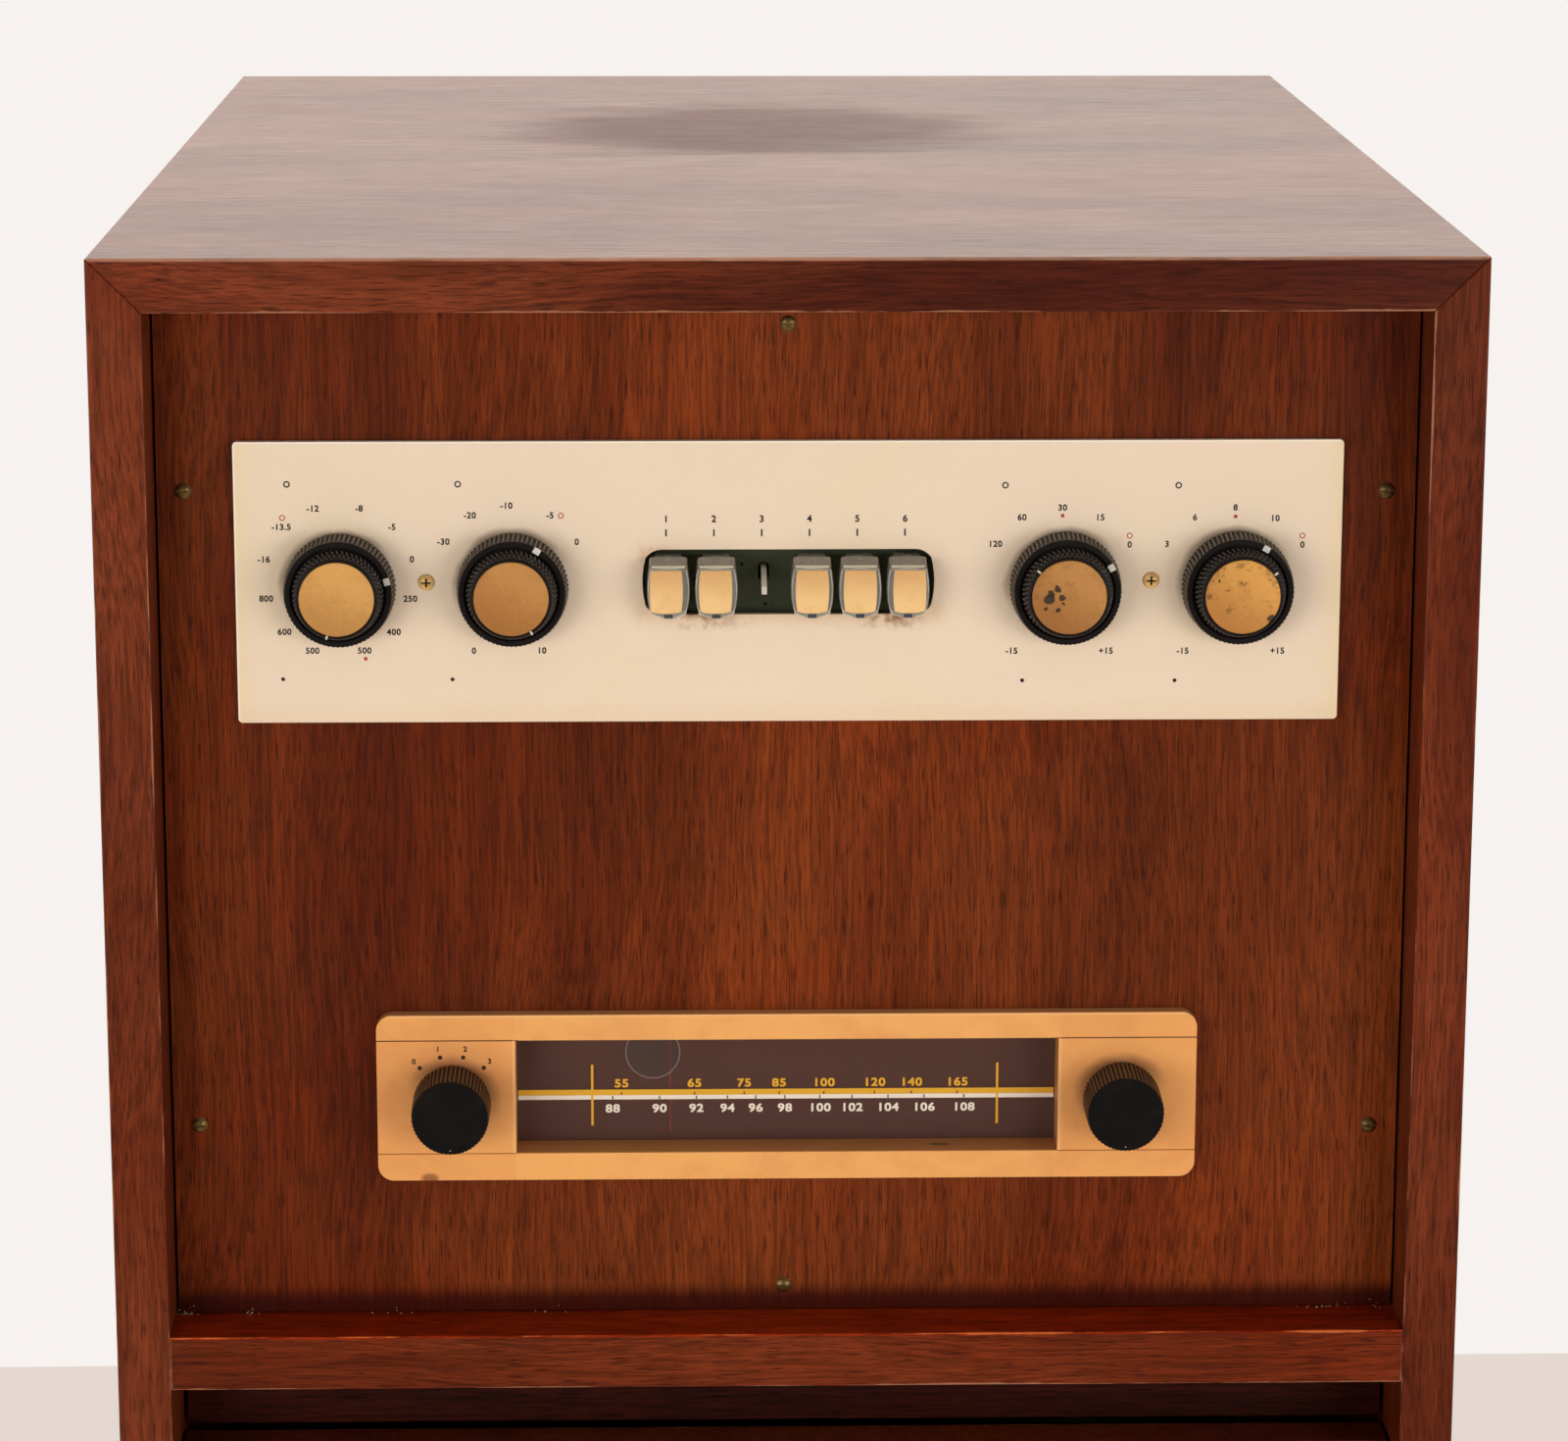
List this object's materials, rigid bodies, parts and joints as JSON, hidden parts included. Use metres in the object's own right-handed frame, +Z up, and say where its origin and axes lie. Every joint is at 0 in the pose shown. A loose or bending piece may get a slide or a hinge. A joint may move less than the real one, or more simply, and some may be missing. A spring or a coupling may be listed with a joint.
{
  "type": "radio phonograph console",
  "caption": "Walnut floor console with a recessed control panel, cream audio control unit, copper-framed radio tuner and a record changer in a pull-out drawer.",
  "frame": {"origin": "middle of the footprint at floor level", "axes": "+Z up, the front faces -Y, +X to the right seen from the front"},
  "size_m": [0.508, 0.66, 0.762],
  "materials": {
    "walnut": "oiled veneer, worn",
    "walnut_dark": "dark stained, satin",
    "plywood": "raw",
    "hardboard": "raw",
    "brass": "tarnished",
    "cream_enamel": "satin enamel",
    "green_enamel": "mottled satin",
    "steel": "zinc plated",
    "ring_black": "satin",
    "knob_black": "satin, fluted",
    "tuner_knob_black": "satin, fluted",
    "clear_plastic": "clear, cream insert",
    "copper": "satin, tarnished",
    "dial_glass": "dark maroon, printed scale",
    "pointer_red": "matte",
    "valve_glass": "clear with silvered getter",
    "amp_steel": "hammered",
    "transformer": "black lacquer",
    "deck_paint": "satin",
    "platter_steel": "satin with a rubber mat",
    "arm_plastic": "satin",
    "motor_steel": "cast and plated",
    "rubber": "matte"
  },
  "bodies": {
    "case": {"case_top": "walnut", "case_side_left": "walnut", "case_side_right": "walnut", "case_bottom": "walnut", "plinth": "walnut_dark", "mid_shelf": "walnut", "drawer_apron": "walnut_dark", "panel_cleats": "plywood", "control_panel": "walnut", "back_panel": "hardboard", "wood_screws": "brass", "preamp_faceplate": "cream_enamel", "faceplate_screws": "brass", "preamp_subpanel": "green_enamel", "preamp_chassis": "steel", "dual_controls": "steel", "tuner_escutcheon": "copper", "dial_glass": "dial_glass", "gang_frame": "steel", "tuner_chassis": "steel", "vacuum_tubes": "valve_glass", "amp_chassis": "amp_steel", "amp_transformers": "transformer", "slide_tracks": "steel"},
    "rolloff": {"rolloff_ring": "ring_black"},
    "turnover": {"turnover_knob": "knob_black"},
    "contour": {"contour_ring": "ring_black"},
    "volume": {"volume_knob": "knob_black"},
    "low_filter": {"low_filter_ring": "ring_black"},
    "bass": {"bass_knob": "knob_black"},
    "high_filter": {"high_filter_ring": "ring_black"},
    "treble": {"treble_knob": "knob_black"},
    "key_1": {"key_lever_1": "steel", "key_cap_1": "clear_plastic"},
    "key_2": {"key_lever_2": "steel", "key_cap_2": "clear_plastic"},
    "key_3": {"key_lever_3": "steel"},
    "key_4": {"key_lever_4": "steel", "key_cap_4": "clear_plastic"},
    "key_5": {"key_lever_5": "steel", "key_cap_5": "clear_plastic"},
    "key_6": {"key_lever_6": "steel", "key_cap_6": "clear_plastic"},
    "function_selector": {"function_knob": "tuner_knob_black"},
    "tuning": {"tuning_knob": "tuner_knob_black"},
    "gang": {"gang_rotor": "steel"},
    "pointer": {"dial_pointer": "pointer_red"},
    "drawer": {"drawer_front": "walnut", "drawer_box": "plywood", "motor_board": "plywood", "slide_runners": "steel", "changer_deck": "deck_paint", "spindle": "steel", "changer_motor": "motor_steel"},
    "turntable": {"platter": "platter_steel"},
    "idler": {"idler_wheel": "rubber"},
    "pulley": {"motor_pulley": "brass"},
    "arm_base": {"arm_gimbal": "steel"},
    "arm": {"tonearm": "arm_plastic"},
    "changer_control": {"control_lever": "knob_black"}
  },
  "joints": [
    {"name": "rolloff_turn", "type": "hinge", "parent": "case", "child": "rolloff", "pos_m": [-0.1659, -0.306, 0.636], "axis": [0, 1, 0], "range_deg": [-150, 0]},
    {"name": "turnover_turn", "type": "hinge", "parent": "case", "child": "turnover", "pos_m": [-0.1659, -0.306, 0.636], "axis": [0, 1, 0], "range_deg": [-90, 60]},
    {"name": "contour_turn", "type": "hinge", "parent": "case", "child": "contour", "pos_m": [-0.102, -0.306, 0.636], "axis": [0, 1, 0], "range_deg": [-90, 30]},
    {"name": "volume_turn", "type": "hinge", "parent": "case", "child": "volume", "pos_m": [-0.102, -0.306, 0.636], "axis": [0, 1, 0], "range_deg": [-300, 0]},
    {"name": "low_filter_turn", "type": "hinge", "parent": "case", "child": "low_filter", "pos_m": [0.103, -0.306, 0.636], "axis": [0, 1, 0], "range_deg": [-120, 0]},
    {"name": "bass_turn", "type": "hinge", "parent": "case", "child": "bass", "pos_m": [0.103, -0.306, 0.636], "axis": [0, 1, 0], "range_deg": [-100, 200]},
    {"name": "high_filter_turn", "type": "hinge", "parent": "case", "child": "high_filter", "pos_m": [0.1669, -0.306, 0.636], "axis": [0, 1, 0], "range_deg": [-90, 30]},
    {"name": "treble_turn", "type": "hinge", "parent": "case", "child": "treble", "pos_m": [0.1669, -0.306, 0.636], "axis": [0, 1, 0], "range_deg": [-205, 95]},
    {"name": "key_1_press", "type": "hinge", "parent": "case", "child": "key_1", "pos_m": [-0.04435, -0.262, 0.64], "axis": [1, 0, 0], "range_deg": [0, 3.5], "stiffness_Nm_per_rad": 0.3, "springref_deg": -5.73},
    {"name": "key_2_press", "type": "hinge", "parent": "case", "child": "key_2", "pos_m": [-0.02665, -0.262, 0.64], "axis": [1, 0, 0], "range_deg": [0, 3.5], "stiffness_Nm_per_rad": 0.3, "springref_deg": -5.73},
    {"name": "key_3_press", "type": "hinge", "parent": "case", "child": "key_3", "pos_m": [-0.00895, -0.262, 0.64], "axis": [1, 0, 0], "range_deg": [0, 3.5], "stiffness_Nm_per_rad": 0.3, "springref_deg": -5.73},
    {"name": "key_4_press", "type": "hinge", "parent": "case", "child": "key_4", "pos_m": [0.00875, -0.262, 0.64], "axis": [1, 0, 0], "range_deg": [0, 3.5], "stiffness_Nm_per_rad": 0.3, "springref_deg": -5.73},
    {"name": "key_5_press", "type": "hinge", "parent": "case", "child": "key_5", "pos_m": [0.02645, -0.262, 0.64], "axis": [1, 0, 0], "range_deg": [0, 3.5], "stiffness_Nm_per_rad": 0.3, "springref_deg": -5.73},
    {"name": "key_6_press", "type": "hinge", "parent": "case", "child": "key_6", "pos_m": [0.04415, -0.262, 0.64], "axis": [1, 0, 0], "range_deg": [0, 3.5], "stiffness_Nm_per_rad": 0.3, "springref_deg": -5.73},
    {"name": "function_turn", "type": "hinge", "parent": "case", "child": "function_selector", "pos_m": [-0.127, -0.309, 0.4376], "axis": [0, 1, 0], "range_deg": [0, 90]},
    {"name": "gang_turn", "type": "hinge", "parent": "case", "child": "gang", "pos_m": [0.02, -0.268, 0.4376], "axis": [0, 1, 0], "range_deg": [-32.76, 147.24]},
    {"name": "tuning_turn", "type": "hinge", "parent": "case", "child": "tuning", "pos_m": [0.127, -0.309, 0.4376], "axis": [0, 1, 0], "range_deg": [-391.2, 1757.8]},
    {"name": "pointer_slide", "type": "slide", "parent": "case", "child": "pointer", "axis": [1, 0, 0], "range_m": [-0.02731, 0.12272]},
    {"name": "drawer_slide", "type": "slide", "parent": "case", "child": "drawer", "axis": [0, -1, 0], "range_m": [0, 0.4]},
    {"name": "platter_spin", "type": "hinge", "parent": "drawer", "child": "turntable", "pos_m": [-0.035, -0.095, 0.196], "axis": [0, 0, -1], "continuous": true},
    {"name": "idler_spin", "type": "hinge", "parent": "drawer", "child": "idler", "pos_m": [0.01595, -0.18325, 0.192], "axis": [0, 0, -1], "continuous": true},
    {"name": "motor_spin", "type": "hinge", "parent": "drawer", "child": "pulley", "pos_m": [-0.00665, -0.1963, 0.19], "axis": [0, 0, -1], "continuous": true},
    {"name": "arm_swing", "type": "hinge", "parent": "drawer", "child": "arm_base", "pos_m": [0.14, 0.02, 0.198], "axis": [0, 0, -1], "range_deg": [0, 42]},
    {"name": "arm_lift", "type": "hinge", "parent": "arm_base", "child": "arm", "pos_m": [0.14, 0.02, 0.22], "axis": [-1, 0, 0], "range_deg": [0, 12]},
    {"name": "control_turn", "type": "hinge", "parent": "drawer", "child": "changer_control", "pos_m": [0.15, -0.235, 0.186], "axis": [0, 0, 1], "range_deg": [-20, 20]}
  ],
  "couplings": [
    {"joint": "tuning_turn", "follows": "gang_turn", "ratio": 11.938},
    {"joint": "pointer_slide", "follows": "gang_turn", "m_per_rad": 0.04775},
    {"joint": "idler_spin", "follows": "platter_spin", "ratio": 6.1},
    {"joint": "motor_spin", "follows": "platter_spin", "ratio": -20.333}
  ]
}
